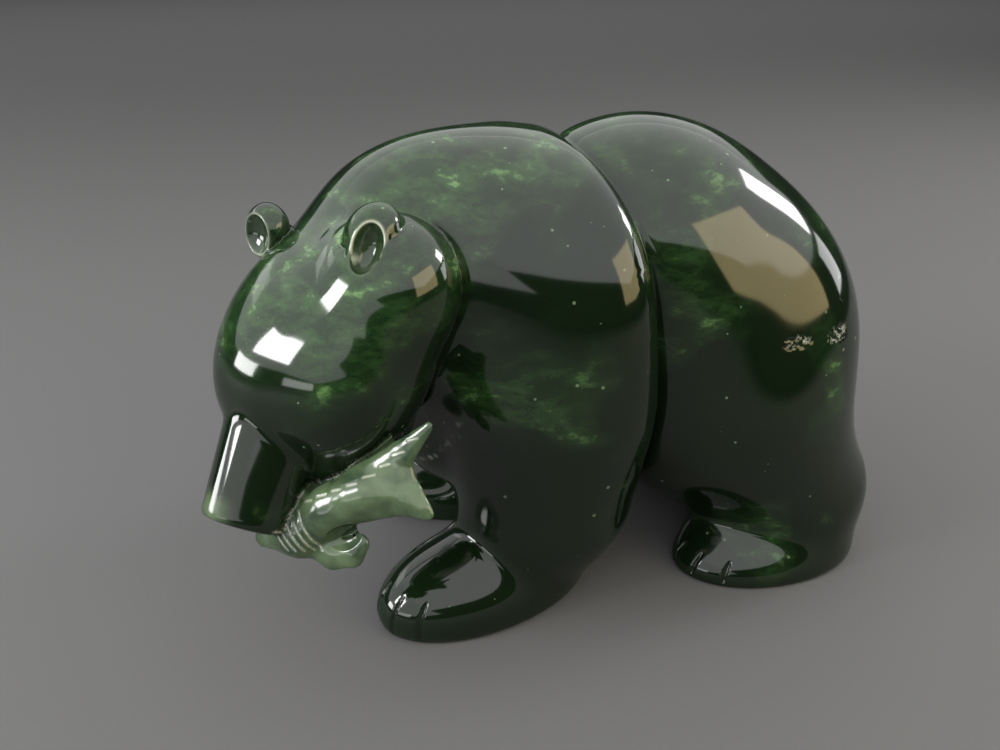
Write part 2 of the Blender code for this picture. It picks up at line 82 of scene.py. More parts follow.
def unit(vector: Sequence[float]) -> Points:
    """The vector at length one."""
    array = np.asarray(vector, float)
    return array / np.linalg.norm(array)


def fuse(first: Points, second: Points, radius: float | Points) -> Points:
    """Runs two masses together.

    Args:
        first: Distance to one mass.
        second: Distance to the other.
        radius: How far from their meeting line the blend starts.

    Returns:
        Distance to both as one mass.
    """
    overlap = np.maximum(radius - np.abs(first - second), 0.0) / radius
    return np.minimum(first, second) - overlap**3 * radius / 6.0


def keep_common(first: Points, second: Points, radius: float) -> Points:
    """Distance to what two masses share, its edge rounded over a radius."""
    return -fuse(-first, -second, radius)


def ridge(value: Points, width: float) -> Points:
    """One where the value is nought, falling away over a width."""
    return np.exp(-((value / width) ** 2))


def ramp(start: float, end: float, value: Points) -> Points:
    """Nought before start, one after end, smooth between."""
    share = np.clip((value - start) / (end - start), 0.0, 1.0)
    return share * share * (3.0 - 2.0 * share)


def to_segment(points: Points, start: Sequence[float], end: Sequence[float]) -> Points:
    """Distance from flat points to a straight stroke."""
    begin = np.asarray(start, float)
    span = np.asarray(end, float) - begin
    share = np.clip((points - begin) @ span / span.dot(span), 0.0, 1.0)
    return np.linalg.norm(points - begin - share[:, None] * span, axis=1)


def near_only(points: Points, middle: Points, reach: float, formula: Formula) -> Points:
    """Works out a formula only close to a place.

    Args:
        points: Places in the block.
        middle: Centre of the ball that holds the shape.
        reach: Radius of that ball, with room for the widest blend.
        formula: Distance to the shape.

    Returns:
        Distance inside the ball, and a safe lesser value outside it.
    """
    gap = np.linalg.norm(points - middle, axis=1) - reach
    result = gap + FAR_AWAY
    close = gap < 0.0
    if close.any():
        result[close] = formula(points[close])
    return result


@dataclass(frozen=True)
class Axes:
    """A frame inside the block: its origin, and its axes as columns."""

    origin: Points
    columns: Points

    def local(self, points: Points) -> Points:
        """Block points in this frame."""
        return (points - self.origin) @ self.columns

    def block(self, local: Sequence[float]) -> Points:
        """A place of this frame in the block."""
        return self.origin + self.columns @ np.asarray(local, float)


BLOCK = Axes(np.zeros(3), np.eye(3))


def turned(degrees: float) -> Points:
    """Axes turned about +Z."""
    return np.array(Matrix.Rotation(math.radians(degrees), 3, "Z"))


def turn_of(axes: Points) -> Euler:
    """The turn that brings the block's axes onto these."""
    return Matrix([list(row) for row in axes]).to_euler()


def add_ball(middle: Sequence[float], half: Sequence[float], axes: Points) -> None:
    """Adds an ellipsoid to the mesh in edit mode."""
    bpy.ops.mesh.primitive_ico_sphere_add(
        subdivisions=4, radius=1.0, location=Vector(middle), rotation=turn_of(axes), scale=Vector(half)
    )


@dataclass(frozen=True)
class Ellipsoid:
    """A rounded mass with three half lengths."""

    middle: Place
    half: Place
    frame: Axes = BLOCK
    turn: float = 0.0

    def distance(self, points: Points) -> Points:
        """Distance from block points to the mass."""
        local = self.frame.local(points) - self.middle
        if self.turn:
            local = local @ turned(self.turn)
        half = np.asarray(self.half)
        near = np.linalg.norm(local / half, axis=1) + TINY
        slope = np.linalg.norm(local / half**2, axis=1) + TINY
        return near * (near - 1.0) / slope

    def add(self) -> None:
        """Adds the mass to the mesh in edit mode."""
        axes = self.frame.columns @ turned(self.turn)
        add_ball(self.frame.block(self.middle), self.half, axes)


@dataclass(frozen=True)
class Barrel:
    """A mass squarer than an ellipsoid, which may narrow towards the neck."""

    middle: Place
    half: Place
    plan_power: float
    side_power: float
    taper: float = 0.0
    taper_at: float = -8.0
    taper_length: float = 14.0
    core: Place = (0.92, 0.92, 0.96)  # share of each half length that the first ball takes

    def distance(self, points: Points) -> Points:
        """Distance from block points to the mass."""
        local = np.abs(points - self.middle)
        if self.taper:
            lean = np.tanh((points[:, 0] - self.taper_at) / self.taper_length)
            local[:, 1] *= 1.0 + self.taper * 0.5 * (1.0 - lean)
        share = local / self.half + LEAST_SHARE
        plan, side = self.plan_power, self.side_power
        flat = (share[:, 0] ** plan + share[:, 1] ** plan) ** (1.0 / plan)
        near = (flat**side + share[:, 2] ** side) ** (1.0 / side)
        across = near ** (1.0 - side) * flat ** (side - plan)
        level = across[:, None] * share[:, :2] ** (plan - 1.0) / self.half[:2]
        upright = (share[:, 2] / near) ** (side - 1.0) / self.half[2]
        return (near - 1.0) / np.linalg.norm(np.column_stack([level, upright]), axis=1)

    def add(self) -> None:
        """Adds a slightly smaller ball to the mesh in edit mode."""
        add_ball(self.middle, np.multiply(self.half, self.core), np.eye(3))


@dataclass(frozen=True)
class Limb:
    """A cone with a ball at each end, which may be flattened through its third axis."""

    start: Place
    end: Place
    start_radius: float
    end_radius: float
    frame: Axes = BLOCK
    flatness: float = 1.0
    balls: int = 6
    swell: float = 0.0

    def radius(self, share: float | Points) -> float | Points:
        """How thick the mass is at a share of its length."""
        return self.start_radius + (self.end_radius - self.start_radius) * share

    def distance(self, points: Points) -> Points:
        """Distance from block points to the mass."""
        local = self.frame.local(points)
        local[:, 2] *= self.flatness
        local -= self.start
        span = np.subtract(self.end, self.start)
        length = np.linalg.norm(span)
        along = local @ (span / length)
        off = np.linalg.norm(local - np.outer(along, span / length), axis=1)
        sine = (self.start_radius - self.end_radius) / length
        share = np.clip((along - off * sine / math.sqrt(1.0 - sine * sine)) / length, 0.0, 1.0)
        return np.linalg.norm(local - np.outer(share, span), axis=1) - self.radius(share)

    def add(self) -> None:
        """Adds a row of balls to the mesh in edit mode."""
        span = np.subtract(self.end, self.start)
        for share in np.linspace(0.0, 1.0, self.balls):
            wide = self.radius(share) + self.swell
            half = (wide, wide, self.radius(share) / self.flatness + self.swell)
            add_ball(self.frame.block(self.start + span * share), half, self.frame.columns)


Mass = Ellipsoid | Barrel | Limb


# ---- the bear


@dataclass
class Leg:
    """One leg: a post and a paw run together, with grooves between the toes."""

    post: Limb
    paw: Ellipsoid
    side: Side
    toe_bearings: tuple[float, ...]  # degrees round the paw, outwards from straight ahead
    blend: float = 12.0
    groove_width: float = 0.5
    groove_skin: Span = (0.8, 2.0)  # off the paw's surface, where a groove fades
    groove_foot: Span = (0.8, 2.2)  # above the floor, where a groove starts
    groove_top: Span = (0.36, 0.56)  # share of the paw's half height where a groove runs out

    def distance(self, points: Points) -> Points:
        """Distance from block points to the leg."""
        return fuse(self.post.distance(points), self.paw.distance(points), self.blend)

    def toes(self, points: Points) -> Points:
        """How deep the toe grooves are cut at each point, from nought to one."""
        local = (points - self.paw.middle) @ turned(self.paw.turn)
        share = local / self.paw.half
        bearing = np.degrees(np.arctan2(share[:, 1] * self.side.value, -share[:, 0]))
        out = np.linalg.norm(local[:, :2], axis=1)
        near = 1.0 - ramp(*self.groove_skin, np.abs(self.paw.distance(points)))
        fade = 1.0 - ramp(*self.groove_top, share[:, 2])
        cut = np.zeros(len(points))
        for toe in self.toe_bearings:
            gap = np.radians(bearing - toe) * out
            cut = np.maximum(cut, ridge(gap, self.groove_width))
        return cut * near * fade * ramp(*self.groove_foot, points[:, 2])


@dataclass
class Trunk:
    """Shoulders, withers, neck, rump and loin, with the carved crease round the waist."""

    shoulder: Barrel = Barrel((5.6, 0.0, 58.8), (21.6, 37.0, 41.7), 4.5, 2.3, 0.4, core=(0.92, 0.80, 0.96))
    withers: Ellipsoid = Ellipsoid((-11.0, -1.0, 71.0), (31.2, 24.5, 31.0))
    neck: Limb = Limb((-20.0, 2.0, 74.0), (-36.0, -10.0, 68.0), 22.0, 18.0)
    chest: Ellipsoid = Ellipsoid((-13.0, 0.0, 42.0), (14.0, 18.0, 20.0))
    rump: Barrel = Barrel((50.8, 0.0, 49.1), (32.7, 34.0, 39.9), 2.6, 2.1)
    loin: Ellipsoid = Ellipsoid((30.4, 0.0, 76.7), (30.3, 26.6, 26.4))
    withers_blend: float = 16.0
    loin_blend: float = 25.0
    leg_blend: float = 18.0
    neck_blend: float = 10.0
    chest_blend: float = 8.0
    waist_blend: float = 1.0
    waist_depth: float = 0.45
    waist_width: float = 1.1
    arch: Ellipsoid = Ellipsoid((27.0, 15.0, 0.0), (12.0, 36.0, 22.0))
    arch_blend: float = 4.0
    front_post: Limb = Limb((6.2, 17.0, 44.6), (6.2, 17.0, 22.6), 19.0, 19.0)
    front_paw: Ellipsoid = Ellipsoid((-9.7, 20.9, 3.4), (25.7, 14.6, 13.1), turn=14.8)
    front_toes: tuple[float, ...] = (37.0, 16.0, -8.0, -31.0)
    hind_post: Limb = Limb((53.0, 17.0, 38.5), (70.2, 17.0, 15.1), 19.3, 18.1)
    hind_paw: Ellipsoid = Ellipsoid((60.7, 23.6, 0.8), (23.2, 14.4, 10.8), turn=2.0)
    hind_toes: tuple[float, ...] = (45.0, 20.0, -5.0)
    right_step: float = 3.0  # how far the right front leg stands behind the left

    def __post_init__(self) -> None:
        """Makes the four legs."""
        self.front_legs: list[Leg] = []
        self.hind_legs: list[Leg] = []
        for side in Side:
            step = self.right_step if side is Side.RIGHT else 0.0
            self.front_legs.append(self.leg(self.front_post, self.front_paw, self.front_toes, side, step))
            self.hind_legs.append(self.leg(self.hind_post, self.hind_paw, self.hind_toes, side, 0.0))

    def leg(self, post: Limb, paw: Ellipsoid, toes: tuple[float, ...], side: Side, step: float) -> Leg:
        """A leg whose sizes are given for the right, on its side of the bear and set back by a step."""
        start, end, middle = (
            (place[0] + step, side.value * place[1], place[2]) for place in (post.start, post.end, paw.middle)
        )
        paw = replace(paw, middle=middle, turn=-side.value * paw.turn)
        return Leg(replace(post, start=start, end=end), paw, side, toes)

    def legs(self) -> list[Leg]:
        """All four legs, the left side's first."""
        return [leg for pair in zip(self.front_legs, self.hind_legs) for leg in pair]

    def masses(self) -> list[Mass]:
        """Every mass of the trunk and legs."""
        found: list[Mass] = [self.shoulder, self.withers, self.neck, self.chest, self.rump, self.loin]
        for leg in self.legs():
            found += [leg.post, leg.paw]
        return found

    def on_legs(self, body: Points, legs: Sequence[Leg], points: Points) -> Points:
        """Distance to half of the body with its two legs run into it."""
        return np.minimum(*(fuse(body, leg.distance(points), self.leg_blend) for leg in legs))

    def halves(self, points: Points) -> tuple[Points, Points]:
        """Distance to the front half of the body and to its back half."""
        front = fuse(self.shoulder.distance(points), self.withers.distance(points), self.withers_blend)
        front = self.on_legs(front, self.front_legs, points)
        front = fuse(front, self.chest.distance(points), self.chest_blend)
        front = fuse(front, self.neck.distance(points), self.neck_blend)
        back = fuse(self.rump.distance(points), self.loin.distance(points), self.loin_blend)
        return front, self.on_legs(back, self.hind_legs, points)

    def waist(self, points: Points) -> Points:
        """How far each point on the skin is from the crease round the waist."""
        front, back = self.halves(points)
        return np.abs(front - back)

    def distance(self, points: Points) -> Points:
        """Distance from block points to the trunk and legs."""
        front, back = self.halves(points)
        carved = self.waist_depth * ridge(front - back, self.waist_width)
        body = fuse(front, back, self.waist_blend) + carved
        return keep_common(body, -self.arch.distance(points), self.arch_blend)

    def toes(self, points: Points) -> Points:
        """Depth of the toe grooves of all four paws."""
        cut = np.zeros(len(points))
        for leg in self.legs():
            cut = np.maximum(cut, leg.toes(points))
        return cut


@dataclass
class Ear:
    """A small round ear: a disc on the skull with a dish carved in it."""

    frame: Axes
    middle: Place
    facing: Place
    half: Place = (7.6, 6.1, 5.8)
    cup_half: Place = (4.9, 2.9, 3.6)
    sink: float = 2.0
    lift: float = 4.2
    cup_shift: float = 0.3
    blend: float = 1.6
    rim_rounding: float = 0.5
    base_depth: float = 0.45
    base_width: float = 0.9
    base_from: Span = (0.4, 1.6)  # off the dish, where the cut round the ear's foot begins
    dish_edge: Span = (-0.4, 0.9)
    rim_highlight_width: float = 0.32
    rim_highlight_strength: float = 0.8  # painted highlight: how bright the white line painted along the dish's rim shows
    reach: float = 16.0

    def __post_init__(self) -> None:
        """Sets the disc and the dish square to the way the ear faces."""
        facing = unit(self.facing)
        length = np.array([1.0, 0.0, 0.0])
        length = unit(length - length.dot(facing) * facing)
        columns = np.stack([length, np.cross(facing, length), facing], 1)
        self.own = Axes(self.frame.block(self.middle), self.frame.columns @ columns)
        self.disc = Ellipsoid((0.0, 0.0, -self.sink), self.half, self.own)
        self.cup = Ellipsoid((self.cup_shift, 0.0, self.lift), self.cup_half, self.own)

    def carve(self, skin: Points, points: Points) -> Points:
        """Adds the ear to the skin, cuts in round its foot and hollows its dish."""
        disc = near_only(points, self.own.origin, self.reach, self.disc.distance)
        cup = near_only(points, self.own.origin, self.reach, self.cup.distance)
        foot = ridge(skin - disc, self.base_width) * ramp(*self.base_from, cup)
        solid = fuse(skin, disc, self.blend) + self.base_depth * foot
        return keep_common(solid, -cup, self.rim_rounding)

    def inside(self, points: Points) -> Points:
        """One inside the dish, nought outside it."""
        return 1.0 - ramp(*self.dish_edge, self.cup.distance(points))

    def ring(self, points: Points) -> Points:
        """Painted highlight: how bright the white line painted along the dish's rim is, nought away from it.
        """
        gap = np.hypot(self.disc.distance(points), self.cup.distance(points))
        return self.rim_highlight_strength * ridge(gap, self.rim_highlight_width) * self.near(points, self.reach)

    def near(self, points: Points, reach: float) -> Points:
        """Whether each point is this close to the ear's middle."""
        return np.linalg.norm(points - self.own.origin, axis=1) < reach


@dataclass
class Muzzle:
    """The boxy snout, narrowing to a flat end."""

    frame: Axes
    back: float = 5.0
    root: float = 20.0
    tip: float = 43.0
    root_half: float = 9.7
    tip_half: float = 8.3
    depth_share: float = 0.88
    power: float = 2.2
    tip_rounding: float = 2.2
    back_rounding: float = 1.2

    def distance(self, points: Points) -> Points:
        """Distance from block points to the muzzle."""
        local = self.frame.local(points)
        share = np.clip((local[:, 0] - self.root) / (self.tip - self.root), 0.0, 1.0)
        half = self.root_half + (self.tip_half - self.root_half) * share
        local[:, 2] /= self.depth_share
        across = (np.abs(local[:, 1:]) ** self.power).sum(axis=1) + TINY
        side = across ** (1.0 / self.power) - half
        shape = keep_common(side, local[:, 0] - self.tip, self.tip_rounding)
        return keep_common(shape, self.back - local[:, 0], self.back_rounding)

    def add(self) -> None:
        """Adds the snout as a box to the mesh in edit mode."""
        middle = self.frame.block(((self.back + self.tip) / 2.0, 0.0, 0.0))
        size = (self.tip - self.back, self.tip_half * 2.0, self.tip_half * self.depth_share * 2.0)
        bpy.ops.mesh.primitive_cube_add(
            size=1.0, location=Vector(middle), rotation=turn_of(self.frame.columns), scale=size
        )


@dataclass
class Head:
    """The head, turned to the bear's left and bowed, in a frame of its own.

    Its u axis runs forward along the muzzle, v to the bear's left and w up off the forehead.
    """

    middle: Place = (-42.0, -15.0, 72.0)
    yaw: float = 45.0
    pitch: float = 55.0
    dome: Ellipsoid = Ellipsoid((9.8, -1.8, -3.7), (19.4, 16.2, 16.1))
    cheek: Ellipsoid = Ellipsoid((6.6, 10.5, -2.9), (19.8, 15.8, 15.5))
    far_cheek: Ellipsoid = Ellipsoid((4.5, -2.1, -9.1), (19.5, 14.2, 14.4))
    jaw: Ellipsoid = Ellipsoid((16.0, 7.0, -12.0), (19.0, 13.0, 14.0))
    ruff: Ellipsoid = Ellipsoid((-8.0, 16.0, 0.0), (14.0, 13.5, 13.0))
    dome_blend: float = 12.0
    ruff_blend: float = 10.0
    jaw_blend: float = 6.0
    muzzle_blend: float = 2.0
    muzzle_roll: float = 37.0
    top_blend: float = 10.0
    near_blend: float = 1.2
    crease_depth: float = 0.5
    crease_width: float = 1.1
    crease_side: Span = (4.0, 15.0)  # towards the near cheek, where the crease begins and is full
    reach: float = 62.0

    def __post_init__(self) -> None:
        """Sets up the frame, the masses, the muzzle and the ears."""
        yaw, pitch = math.radians(self.yaw), math.radians(self.pitch)
        level = math.cos(pitch)
        forward = np.array([-math.cos(yaw) * level, -math.sin(yaw) * level, -math.sin(pitch)])
        left = np.array([math.sin(yaw), -math.cos(yaw), 0.0])
        columns = np.stack([forward, left, np.cross(forward, left)], 1)
        self.frame = Axes(np.asarray(self.middle), columns)
        for name in ("dome", "cheek", "far_cheek", "jaw", "ruff"):
            setattr(self, name, replace(getattr(self, name), frame=self.frame))
        rolled = np.array(Matrix.Rotation(-math.radians(self.muzzle_roll), 3, "X"))
        self.muzzle = Muzzle(Axes(self.frame.origin, columns @ rolled))
        self.near_ear = Ear(self.frame, middle=(-13.2, 16.2, 9.5), facing=(0.30, 0.40, 0.85))
        self.far_ear = Ear(
            self.frame,
            middle=(-12.3, -13.6, 4.5),
            facing=(0.45, -0.15, 0.88),
            half=(5.8, 5.0, 4.2),
            cup_half=(4.4, 3.9, 3.0),
            sink=1.2,
            lift=3.0,
            # the far ear's painted rim highlight is fainter
            rim_highlight_strength=0.32,
        )

    def ears(self) -> tuple[Ear, Ear]:
        """Both ears, the near one first."""
        return self.near_ear, self.far_ear

    def masses(self) -> list[Mass | Muzzle]:
        """Every mass of the head."""
        discs = [ear.disc for ear in self.ears()]
        return [self.dome, self.cheek, self.far_cheek, self.jaw, self.ruff, self.muzzle, *discs]

    def skull(self, points: Points) -> Points:
        """Distance from block points to the skull alone."""
        skull = fuse(self.dome.distance(points), self.cheek.distance(points), self.dome_blend)
        skull = fuse(skull, self.far_cheek.distance(points), self.dome_blend)
        skull = fuse(skull, self.jaw.distance(points), self.jaw_blend)
        return fuse(skull, self.ruff.distance(points), self.ruff_blend)

    def join(self, body: Points, points: Points) -> Points:
        """Joins the head to the body: smooth over the crown, creased beside the near cheek."""
        skull = near_only(points, self.frame.origin, self.reach, self.skull)
        near = ramp(*self.crease_side, self.frame.local(points)[:, 1])
        blend = self.top_blend + (self.near_blend - self.top_blend) * near
        carved = self.crease_depth * ridge(body - skull, self.crease_width) * near
        skin = fuse(body, skull, blend) + carved
        muzzle = near_only(points, self.frame.origin, self.reach, self.muzzle.distance)
        skin = fuse(skin, muzzle, self.muzzle_blend)
        for ear in self.ears():
            skin = ear.carve(skin, points)
        return skin


Stroke = tuple[Points, Points]
Stations = Sequence[tuple[Flat, float]]


@dataclass
class Fish:
    """The fish held across the mouth, in a frame of its own.

    Its a axis runs from the nose to the tail, b towards the back fin and c through its thickness.
    """

    nose: Place = (-57.0, -29.3, 31.6)
    along: Place = (0.786, -0.382, 0.487)
    through: Place = (-0.578, -0.735, 0.355)
    centre: Place = (20.0, -1.0, 0.0)
    reach: float = 36.0
    body_line: Stations = (((1.5, -0.8), 2.2), ((9.5, -2.2), 4.8), ((18.0, -0.4), 4.7), ((27.0, 0.3), 4.2))
    tail_lines: tuple[Stations, ...] = (
        (((26.0, 1.5), 3.8), ((36.0, 4.2), 2.6), ((43.4, 7.1), 0.9)),
        (((26.0, -1.0), 3.9), ((34.0, -3.2), 3.5), ((37.0, -7.6), 1.1)),
        (((29.0, 0.0), 4.0), ((34.6, 0.6), 2.7)),
    )
    tail_ridge: Stations = (((24.0, 0.3), 3.0), ((32.0, -1.8), 2.0), ((36.4, -6.2), 1.0))
    fin_line: Stations = (((11.5, -5.0), 3.0), ((14.6, -8.4), 3.0), ((18.6, -9.6), 2.6), ((21.2, -8.4), 1.9))
    body_flatness: float = 1.1
    fin_flatness: float = 1.9
    ridge_flatness: float = 0.8
    swell: float = 0.45
    hollow: Ellipsoid = Ellipsoid((19.6, -6.4, 2.4), (4.2, 2.5, 2.6))
    hollow_rounding: float = 0.5
    body_blend: float = 3.0
    tail_blend: float = 4.0
    lobe_blend: float = 2.0
    line_blend: float = 1.0
    gill_width: float = 0.17
    gill_depth: float = 0.38
    scale_width: float = 0.20
    scale_depth: float = 0.16
    gill_count: int = 5
    gill_first: tuple[Flat, Flat] = ((7.5, -1.3), (8.3, -4.7))
    gill_last: tuple[Flat, Flat] = ((13.4, 1.4), (13.9, -7.0))
    scale_run: Place = (15.0, 39.0, 3.4)  # first, end and step along the fish
    scale_stroke: Flat = (2.0, -0.25)
    scale_row: tuple[Flat, ...] = ((15.0, 2.7), (27.0, 2.4), (34.0, 4.3), (40.0, 6.7))
    cut_side: Span = (0.2, 1.0)  # off the fish's middle plane, where the cuts begin and are full

    def __post_init__(self) -> None:
        """Sets up the frame, the body, the tail and the side fin."""
        along = unit(self.along)
        back = unit(np.cross(self.through, along))
        columns = np.stack([along, back, np.cross(along, back)], 1)
        self.frame = Axes(np.asarray(self.nose), columns)
        self.body = self.chain(self.body_line, self.body_flatness)
        self.tail = [self.chain(line, self.fin_flatness) for line in self.tail_lines]
        self.tail.append(self.chain(self.tail_ridge, self.ridge_flatness))
        self.fin = self.chain(self.fin_line, self.fin_flatness)
        self.hollow = replace(self.hollow, frame=self.frame)

    def chain(self, stations: Stations, flatness: float) -> list[Limb]:
        """The limbs that join one place along the fish to the next."""
        limbs = []
        for (start, first), (end, second) in zip(stations, stations[1:]):
            ends = ((*start, 0.0), (*end, 0.0))
            limbs.append(Limb(*ends, first, second, self.frame, flatness, swell=self.swell))
        return limbs

    def masses(self) -> list[Mass]:
        """Every mass of the fish."""
        return [*self.body, *self.fin, *(limb for lobe in self.tail for limb in lobe)]

    def run(self, limbs: list[Limb], points: Points, blend: float) -> Points:
        """Distance to a row of limbs run together."""
        result = limbs[0].distance(points)
        for limb in limbs[1:]:
            result = fuse(result, limb.distance(points), blend)
        return result

    def shape(self, points: Points) -> Points:
        """Distance to the fish, worked out everywhere."""
        tail = self.run(self.tail[0], points, self.line_blend)
        for lobe in self.tail[1:]:
            tail = fuse(tail, self.run(lobe, points, self.line_blend), self.lobe_blend)
        fish = fuse(self.run(self.body, points, self.body_blend), tail, self.tail_blend)
        fish = fuse(fish, self.run(self.fin, points, self.line_blend), self.lobe_blend)
        return keep_common(fish, -self.hollow.distance(points), self.hollow_rounding)

    def distance(self, points: Points) -> Points:
        """Distance from block points to the fish."""
        return near_only(points, self.frame.block(self.centre), self.reach, self.shape)

    def gills(self) -> list[Stroke]:
        """The gill cuts, evenly spaced from the first to the last."""
        first, last = np.array(self.gill_first), np.array(self.gill_last)
        return [tuple(first + (last - first) * share) for share in np.linspace(0.0, 1.0, self.gill_count)]

    def scales(self) -> list[Stroke]:
        """A row of short scale cuts that follows the back out to the tail's upper lobe."""
        places, heights = zip(*self.scale_row)
        row = []
        for at in np.arange(*self.scale_run):
            start = np.array((at, np.interp(at, places, heights)))
            row.append((start, start + np.array(self.scale_stroke)))
        return row

    def strokes(self, points: Points, lines: Sequence[Stroke], width: float) -> Points:
        """Straight cuts across the fish's sides, one at the middle of a stroke."""
        local = self.frame.local(points)
        cut = np.zeros(len(points))
        for start, end in lines:
            cut = np.maximum(cut, ridge(to_segment(local[:, :2], start, end), width))
        return cut * ramp(*self.cut_side, np.abs(local[:, 2]))

    def cuts(self, points: Points) -> tuple[Points, Points]:
        """How far each point lies in a gill cut and in a scale cut, from nought to one."""
        gills, scales = np.zeros((2, len(points)))
        close = np.linalg.norm(points - self.frame.block(self.centre), axis=1) < self.reach
        if close.any():
            gills[close] = self.strokes(points[close], self.gills(), self.gill_width)
            scales[close] = self.strokes(points[close], self.scales(), self.scale_width)
        return gills, scales


@dataclass(frozen=True)
class Flaw:
    """A natural flaw in the stone, left broken and unpolished."""

    middle: Place
    half: Place
    depth: float = 0.12
    grit_mm: float = 0.9
    edge: Span = (0.45, 1.0)  # share of the way out, where the broken part ends
    grit_edge: Span = (-0.25, 0.25)

    def amount(self, points: Points) -> Points:
        """How broken each point is, from nought to one."""
        share = np.linalg.norm((points - self.middle) / self.half, axis=1)
        broken = 1.0 - ramp(*self.edge, share)
        for index in np.flatnonzero(broken > 0.0):
            grit = noise.noise(Vector(points[index]) / self.grit_mm)
            broken[index] *= ramp(*self.grit_edge, np.float64(grit))
        return broken


class Grain(Enum):
    """How often the squares of the skin are halved in a part of the carving."""

    PLAIN = 0
    FINE = 1
    FINEST = 2


@dataclass
class Carving:
    """The whole carving as one skin."""

    trunk: Trunk = field(default_factory=Trunk)
    head: Head = field(default_factory=Head)
    fish: Fish = field(default_factory=Fish)
    flaws: tuple[Flaw, ...] = (
        Flaw((66.5, -30.5, 61.2), (5.0, 5.0, 2.2)),
        Flaw((55.0, -32.5, 61.5), (4.5, 2.5, 2.0)),
    )
    name: str = "carved_bear_with_fish"
    cell: float = 1.23
    quick_cell: float = 1.8
    core: Place = (10.0, 0.0, 60.0)  # inside the shoulders, where the first small ball goes
    core_radius: float = 5.0
    fish_blend: float = 0.8
    toe_depth: float = 0.55
    sole_rounding: float = 1.6
    longest_move: float = 1.5
    least_slope: float = 0.04
    slope_step: float = 0.03
    fish_grain: Span = (3.0, 0.8)  # how far off the fish the skin is fine, and finest
    toe_grain: Span = (0.02, 0.1)  # how deep in a toe groove the skin is fine, and finest
    ear_grain: Span = (10.0, 9.0)  # from the ear's middle
    dish_grain: float = 1.2
    waist_grain: float = 1.6
    cheek_grain: float = 2.0
    cheek_from: float = 4.0
    muzzle_grain: float = 17.0
    muzzle_from: float = 14.0
    fish_painted_glow: Span = (-0.6, 0.5)  # across the join with the jaw, where the painted glow of thin stone starts
    # how strongly the painted glow of thin stone shows in the ears' dishes
    ear_painted_glow: float = 0.45
    painted_glow_corner: Place = (-65.0, -35.0, 42.5)  # the muzzle's left corner, where a glow of light through thin stone is painted
    painted_glow_reach: Span = (1.0, 6.0)
    scale_white: float = 0.5
    torn: float = 0.8
    torn_width: float = 1.3
    torn_from: Span = (8.0, 11.0)  # along the fish, where the torn crevice opens
    torn_to: Span = (26.0, 30.0)

    def form(self, points: Points) -> Points:
        """Distance to the smooth form, without its finest cuts."""
        skin = self.head.join(self.trunk.distance(points), points)
        skin = fuse(skin, self.fish.distance(points), self.fish_blend)
        return keep_common(skin, -points[:, 2], self.sole_rounding)

    def finished(self, points: Points) -> Points:
        """Distance to the finished surface, with toes, gills and scales cut in."""
        skin = self.form(points) + self.toe_depth * self.trunk.toes(points)
        gills, scales = self.fish.cuts(points)
        for flaw in self.flaws:
            skin = skin + flaw.depth * flaw.amount(points)
        return skin + self.fish.gill_depth * gills + self.fish.scale_depth * scales

    def slope(self, formula: Formula, points: Points) -> Points:
        """The way out of a surface at each point, from four places round it."""
        total = np.zeros_like(points)
        for corner in ((1, -1, -1), (-1, -1, 1), (-1, 1, -1), (1, 1, 1)):
            way = np.asarray(corner, float)
            total += way * formula(points + way * self.slope_step)[:, None]
        return total / (4.0 * self.slope_step)

    def settle(self, formula: Formula, points: Points, rounds: int) -> Points:
        """Moves points straight onto a surface."""
        for _ in range(rounds):
            slope = self.slope(formula, points)
            steep = np.maximum((slope**2).sum(axis=1), self.least_slope)
            move = np.clip(formula(points) / steep, -self.longest_move, self.longest_move)
            points = points - slope * move[:, None]
        return points

    def even_out(self, points: Points, edges: np.ndarray, share: float) -> Points:
        """Draws each point towards the middle of its neighbours."""
        flat, across = edges.ravel(), edges[:, ::-1].ravel()
        count = np.maximum(np.bincount(flat, minlength=len(points)), 1)
        total = np.empty_like(points)
        for axis in range(3):
            total[:, axis] = np.bincount(flat, points[across, axis], len(points))
        return points + (total / count[:, None] - points) * share

    def lay(self, mesh: Mesh, formula: Formula, first: int, evening: int, share: float) -> None:
        """Lays a mesh onto a surface and evens its squares out."""
        edges = read(mesh.edges, "vertices", 2, int)
        points = self.settle(formula, read(mesh.vertices, "co", 3), first)
        for _ in range(evening):
            points = self.settle(formula, self.even_out(points, edges, share), 1)
        points = self.settle(formula, points, 2)
        mesh.vertices.foreach_set("co", points.ravel())
        mesh.update()

    def build(self) -> Object:
        """Carves the bear.

        Returns:
            The finished object, in metres in the part's frame.
        """
        body = self.rough_out()
        self.lay(body.data, self.form, first=5, evening=4, share=0.4)
        for grain, formula in ((Grain.FINE, self.form), (Grain.FINEST, self.finished)):
            self.refine(body, grain)
            self.lay(body.data, formula, first=1, evening=2, share=0.3)
        self.finish(body)
        return body

    def rough_out(self) -> Object:
        """Adds every mass to one mesh and fuses them into one skin of small squares."""
        bpy.ops.object.select_all(action="DESELECT")
        bpy.ops.mesh.primitive_ico_sphere_add(subdivisions=2, radius=self.core_radius, location=self.core)
        body = bpy.context.object
        body.name = self.name
        bpy.ops.object.mode_set(mode="EDIT")
        for mass in self.trunk.masses() + self.head.masses() + self.fish.masses():
            mass.add()
        bpy.ops.object.mode_set(mode="OBJECT")
        bpy.ops.object.transform_apply(location=True, rotation=True, scale=True)
        remesh = body.modifiers.new("fused skin", "REMESH")
        remesh.mode = "VOXEL"
        remesh.voxel_size = self.cell
        bpy.ops.object.modifier_apply(modifier=remesh.name)
        return body

